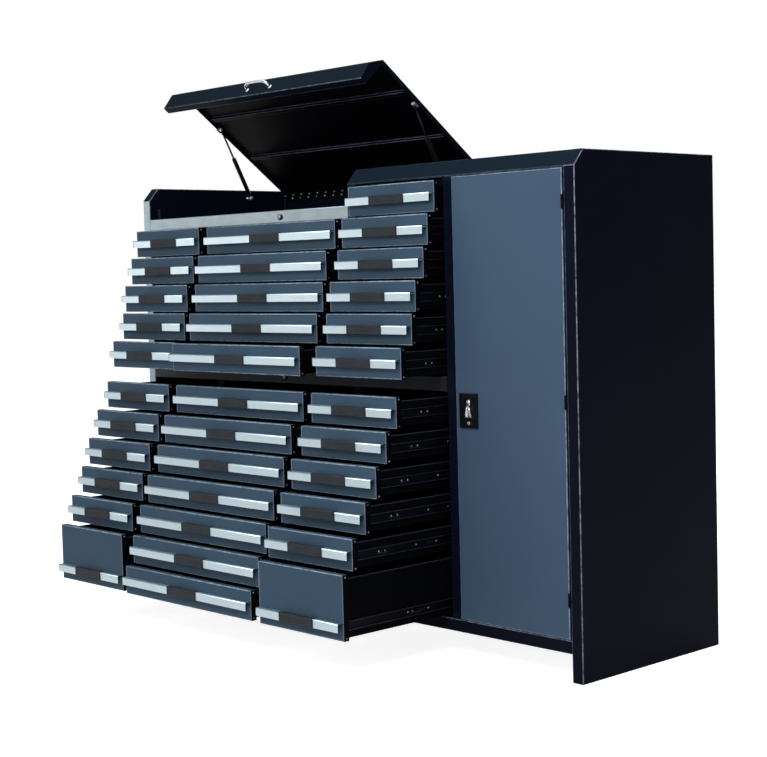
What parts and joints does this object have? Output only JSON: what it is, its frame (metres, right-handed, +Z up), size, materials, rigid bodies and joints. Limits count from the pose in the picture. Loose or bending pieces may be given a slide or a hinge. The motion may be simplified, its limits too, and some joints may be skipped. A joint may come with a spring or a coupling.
{
  "type": "rolling tool chest",
  "caption": "Wide steel tool chest with banks of shallow drawers standing open, a strutted lift-up lid over a top compartment and a tall side locker.",
  "frame": {"origin": "centre of the open chest's footprint box, on the floor", "axes": "+X along the front towards the locker, +Y to the back, +Z up"},
  "size_m": [2, 1.0888, 1.8049],
  "materials": {
    "front_blue": "semi-gloss powder coat",
    "body_black": "semi-gloss powder coat",
    "rail_grey": "gloss",
    "slide_steel": "black zinc",
    "bright": "polished"
  },
  "bodies": {
    "carcass": {"left_end_panel": "body_black", "right_end_panel": "body_black", "rear_panel": "body_black", "base_panel": "body_black", "partitions": "body_black", "cross_rails": "rail_grey", "fixed_top": "body_black", "compartment_floor": "body_black", "slide_channels": "slide_steel", "compartment_hardware": "body_black", "locker_hinges": "body_black", "locker_shelves": "body_black"},
    "lid_body": {"lid": "body_black", "lid_handle": "bright", "lid_hardware": "body_black"},
    "left_cylinder_body": {"left_strut_cylinder": "slide_steel"},
    "left_rod_body": {"left_strut_rod": "bright"},
    "right_cylinder_body": {"right_strut_cylinder": "slide_steel"},
    "right_rod_body": {"right_strut_rod": "bright"},
    "door_body": {"locker_door": "front_blue"},
    "paddle_body": {"latch_paddle": "bright"},
    "door_lock_body": {"door_lock": "bright"},
    "bolt_body": {"lock_bolt": "bright"},
    "top_lock_body": {"top_rail_lock": "bright"},
    "mid_lock_body": {"mid_rail_lock": "bright"},
    "upper_left_drawer_1_body": {"upper_left_drawer_1": "front_blue"},
    "upper_left_drawer_2_body": {"upper_left_drawer_2": "front_blue"},
    "upper_left_drawer_3_body": {"upper_left_drawer_3": "front_blue"},
    "upper_left_drawer_4_body": {"upper_left_drawer_4": "front_blue"},
    "upper_left_drawer_5_body": {"upper_left_drawer_5": "front_blue"},
    "upper_middle_drawer_1_body": {"upper_middle_drawer_1": "front_blue"},
    "upper_middle_drawer_2_body": {"upper_middle_drawer_2": "front_blue"},
    "upper_middle_drawer_3_body": {"upper_middle_drawer_3": "front_blue"},
    "upper_middle_drawer_4_body": {"upper_middle_drawer_4": "front_blue"},
    "upper_middle_drawer_5_body": {"upper_middle_drawer_5": "front_blue"},
    "upper_right_drawer_1_body": {"upper_right_drawer_1": "front_blue"},
    "upper_right_drawer_2_body": {"upper_right_drawer_2": "front_blue"},
    "upper_right_drawer_3_body": {"upper_right_drawer_3": "front_blue"},
    "upper_right_drawer_4_body": {"upper_right_drawer_4": "front_blue"},
    "upper_right_drawer_5_body": {"upper_right_drawer_5": "front_blue"},
    "upper_right_drawer_6_body": {"upper_right_drawer_6": "front_blue"},
    "lower_left_drawer_1_body": {"lower_left_drawer_1": "front_blue"},
    "lower_left_drawer_2_body": {"lower_left_drawer_2": "front_blue"},
    "lower_left_drawer_3_body": {"lower_left_drawer_3": "front_blue"},
    "lower_left_drawer_4_body": {"lower_left_drawer_4": "front_blue"},
    "lower_left_drawer_5_body": {"lower_left_drawer_5": "front_blue"},
    "lower_left_drawer_6_body": {"lower_left_drawer_6": "front_blue"},
    "lower_middle_drawer_1_body": {"lower_middle_drawer_1": "front_blue"},
    "lower_middle_drawer_2_body": {"lower_middle_drawer_2": "front_blue"},
    "lower_middle_drawer_3_body": {"lower_middle_drawer_3": "front_blue"},
    "lower_middle_drawer_4_body": {"lower_middle_drawer_4": "front_blue"},
    "lower_middle_drawer_5_body": {"lower_middle_drawer_5": "front_blue"},
    "lower_middle_drawer_6_body": {"lower_middle_drawer_6": "front_blue"},
    "lower_middle_drawer_7_body": {"lower_middle_drawer_7": "front_blue"},
    "lower_right_drawer_1_body": {"lower_right_drawer_1": "front_blue"},
    "lower_right_drawer_2_body": {"lower_right_drawer_2": "front_blue"},
    "lower_right_drawer_3_body": {"lower_right_drawer_3": "front_blue"},
    "lower_right_drawer_4_body": {"lower_right_drawer_4": "front_blue"},
    "lower_right_drawer_5_body": {"lower_right_drawer_5": "front_blue"},
    "lower_right_drawer_6_body": {"lower_right_drawer_6": "front_blue"}
  },
  "joints": [
    {"name": "lid_hinge", "type": "hinge", "parent": "carcass", "child": "lid_body", "pos_m": [0, 0.527, 1.436], "axis": [-1, 0, 0], "range_deg": [-37, 0]},
    {"name": "left_strut_pivot", "type": "hinge", "parent": "carcass", "child": "left_cylinder_body", "pos_m": [-0.945, 0.352, 1.428], "axis": [-1, 0, 0], "range_deg": [-57.88, 0.05]},
    {"name": "left_rod_slide", "type": "slide", "parent": "left_cylinder_body", "child": "left_rod_body", "axis": [0, -0.4617, 0.8871], "range_m": [-0.06687, 0.0001]},
    {"name": "right_strut_pivot", "type": "hinge", "parent": "carcass", "child": "right_cylinder_body", "pos_m": [0.07, 0.352, 1.428], "axis": [-1, 0, 0], "range_deg": [-57.88, 0.05]},
    {"name": "right_rod_slide", "type": "slide", "parent": "right_cylinder_body", "child": "right_rod_body", "axis": [0, -0.4617, 0.8871], "range_m": [-0.06687, 0.0001]},
    {"name": "door_hinge", "type": "hinge", "parent": "carcass", "child": "door_body", "pos_m": [0.9575, -0.0996, 0.7], "axis": [0, 0, 1], "range_deg": [0, 110]},
    {"name": "paddle_swing", "type": "hinge", "parent": "door_body", "child": "paddle_body", "pos_m": [0.593, -0.1012, 0.766], "axis": [-1, 0, 0], "range_deg": [0, 35], "stiffness_Nm_per_rad": 0.05},
    {"name": "door_lock_turn", "type": "hinge", "parent": "door_body", "child": "door_lock_body", "pos_m": [0.593, -0.1, 0.698], "axis": [0, 1, 0], "range_deg": [0, 90]},
    {"name": "bolt_throw", "type": "slide", "parent": "door_body", "child": "bolt_body", "axis": [-1, 0, 0], "range_m": [0, 0.018]},
    {"name": "top_rail_lock_turn", "type": "hinge", "parent": "carcass", "child": "top_lock_body", "pos_m": [-0.235, -0.099, 1.326], "axis": [0, 1, 0], "range_deg": [0, 90]},
    {"name": "mid_rail_lock_turn", "type": "hinge", "parent": "carcass", "child": "mid_lock_body", "pos_m": [-0.235, -0.099, 0.807], "axis": [0, 1, 0], "range_deg": [0, 90]},
    {"name": "upper_left_slide_3", "type": "slide", "parent": "carcass", "child": "upper_left_drawer_3_body", "axis": [0, -1, 0], "range_m": [-0.117, 0.383]},
    {"name": "upper_middle_slide_3", "type": "slide", "parent": "carcass", "child": "upper_middle_drawer_3_body", "axis": [0, -1, 0], "range_m": [-0.111, 0.389]},
    {"name": "upper_right_slide_3", "type": "slide", "parent": "carcass", "child": "upper_right_drawer_3_body", "axis": [0, -1, 0], "range_m": [-0.084, 0.416]},
    {"name": "upper_right_slide_6", "type": "slide", "parent": "carcass", "child": "upper_right_drawer_6_body", "axis": [0, -1, 0], "range_m": [-0.183, 0.317]},
    {"name": "lower_left_slide_3", "type": "slide", "parent": "carcass", "child": "lower_left_drawer_3_body", "axis": [0, -1, 0], "range_m": [-0.291, 0.209]},
    {"name": "lower_middle_slide_3", "type": "slide", "parent": "carcass", "child": "lower_middle_drawer_3_body", "axis": [0, -1, 0], "range_m": [-0.285, 0.215]},
    {"name": "lower_right_slide_3", "type": "slide", "parent": "carcass", "child": "lower_right_drawer_3_body", "axis": [0, -1, 0], "range_m": [-0.292, 0.208]},
    {"name": "lower_left_slide_6", "type": "slide", "parent": "carcass", "child": "lower_left_drawer_6_body", "axis": [0, -1, 0], "range_m": [-0.413, 0.087]},
    {"name": "lower_middle_slide_6", "type": "slide", "parent": "carcass", "child": "lower_middle_drawer_6_body", "axis": [0, -1, 0], "range_m": [-0.394, 0.106]},
    {"name": "lower_right_slide_6", "type": "slide", "parent": "carcass", "child": "lower_right_drawer_6_body", "axis": [0, -1, 0], "range_m": [-0.428, 0.072]},
    {"name": "upper_left_slide_1", "type": "slide", "parent": "carcass", "child": "upper_left_drawer_1_body", "axis": [0, -1, 0], "range_m": [-0.06, 0.44]},
    {"name": "upper_middle_slide_1", "type": "slide", "parent": "carcass", "child": "upper_middle_drawer_1_body", "axis": [0, -1, 0], "range_m": [-0.054, 0.446]},
    {"name": "upper_right_slide_1", "type": "slide", "parent": "carcass", "child": "upper_right_drawer_1_body", "axis": [0, -1, 0], "range_m": [-0.034, 0.466]},
    {"name": "upper_left_slide_2", "type": "slide", "parent": "carcass", "child": "upper_left_drawer_2_body", "axis": [0, -1, 0], "range_m": [-0.087, 0.413]},
    {"name": "upper_middle_slide_2", "type": "slide", "parent": "carcass", "child": "upper_middle_drawer_2_body", "axis": [0, -1, 0], "range_m": [-0.094, 0.406]},
    {"name": "upper_right_slide_2", "type": "slide", "parent": "carcass", "child": "upper_right_drawer_2_body", "axis": [0, -1, 0], "range_m": [-0.064, 0.436]},
    {"name": "upper_left_slide_4", "type": "slide", "parent": "carcass", "child": "upper_left_drawer_4_body", "axis": [0, -1, 0], "range_m": [-0.131, 0.369]},
    {"name": "upper_middle_slide_4", "type": "slide", "parent": "carcass", "child": "upper_middle_drawer_4_body", "axis": [0, -1, 0], "range_m": [-0.138, 0.362]},
    {"name": "upper_right_slide_4", "type": "slide", "parent": "carcass", "child": "upper_right_drawer_4_body", "axis": [0, -1, 0], "range_m": [-0.119, 0.381]},
    {"name": "upper_left_slide_5", "type": "slide", "parent": "carcass", "child": "upper_left_drawer_5_body", "axis": [0, -1, 0], "range_m": [-0.176, 0.324]},
    {"name": "upper_middle_slide_5", "type": "slide", "parent": "carcass", "child": "upper_middle_drawer_5_body", "axis": [0, -1, 0], "range_m": [-0.211, 0.289]},
    {"name": "upper_right_slide_5", "type": "slide", "parent": "carcass", "child": "upper_right_drawer_5_body", "axis": [0, -1, 0], "range_m": [-0.137, 0.363]},
    {"name": "lower_left_slide_1", "type": "slide", "parent": "carcass", "child": "lower_left_drawer_1_body", "axis": [0, -1, 0], "range_m": [-0.206, 0.294]},
    {"name": "lower_middle_slide_1", "type": "slide", "parent": "carcass", "child": "lower_middle_drawer_1_body", "axis": [0, -1, 0], "range_m": [-0.202, 0.298]},
    {"name": "lower_right_slide_1", "type": "slide", "parent": "carcass", "child": "lower_right_drawer_1_body", "axis": [0, -1, 0], "range_m": [-0.206, 0.294]},
    {"name": "lower_left_slide_2", "type": "slide", "parent": "carcass", "child": "lower_left_drawer_2_body", "axis": [0, -1, 0], "range_m": [-0.252, 0.248]},
    {"name": "lower_middle_slide_2", "type": "slide", "parent": "carcass", "child": "lower_middle_drawer_2_body", "axis": [0, -1, 0], "range_m": [-0.253, 0.247]},
    {"name": "lower_right_slide_2", "type": "slide", "parent": "carcass", "child": "lower_right_drawer_2_body", "axis": [0, -1, 0], "range_m": [-0.249, 0.251]},
    {"name": "lower_left_slide_4", "type": "slide", "parent": "carcass", "child": "lower_left_drawer_4_body", "axis": [0, -1, 0], "range_m": [-0.324, 0.176]},
    {"name": "lower_middle_slide_4", "type": "slide", "parent": "carcass", "child": "lower_middle_drawer_4_body", "axis": [0, -1, 0], "range_m": [-0.328, 0.172]},
    {"name": "lower_right_slide_4", "type": "slide", "parent": "carcass", "child": "lower_right_drawer_4_body", "axis": [0, -1, 0], "range_m": [-0.336, 0.164]},
    {"name": "lower_left_slide_5", "type": "slide", "parent": "carcass", "child": "lower_left_drawer_5_body", "axis": [0, -1, 0], "range_m": [-0.368, 0.132]},
    {"name": "lower_middle_slide_5", "type": "slide", "parent": "carcass", "child": "lower_middle_drawer_5_body", "axis": [0, -1, 0], "range_m": [-0.362, 0.138]},
    {"name": "lower_right_slide_5", "type": "slide", "parent": "carcass", "child": "lower_right_drawer_5_body", "axis": [0, -1, 0], "range_m": [-0.388, 0.112]},
    {"name": "lower_middle_slide_7", "type": "slide", "parent": "carcass", "child": "lower_middle_drawer_7_body", "axis": [0, -1, 0], "range_m": [-0.426, 0.074]}
  ],
  "couplings": [
    {"joint": "left_strut_pivot", "follows": "lid_hinge", "ratio": 1.563},
    {"joint": "left_rod_slide", "follows": "lid_hinge", "m_per_rad": 0.1034},
    {"joint": "right_strut_pivot", "follows": "lid_hinge", "ratio": 1.563},
    {"joint": "right_rod_slide", "follows": "lid_hinge", "m_per_rad": 0.1034},
    {"joint": "bolt_throw", "follows": "door_lock_turn", "m_per_rad": 0.011458}
  ]
}
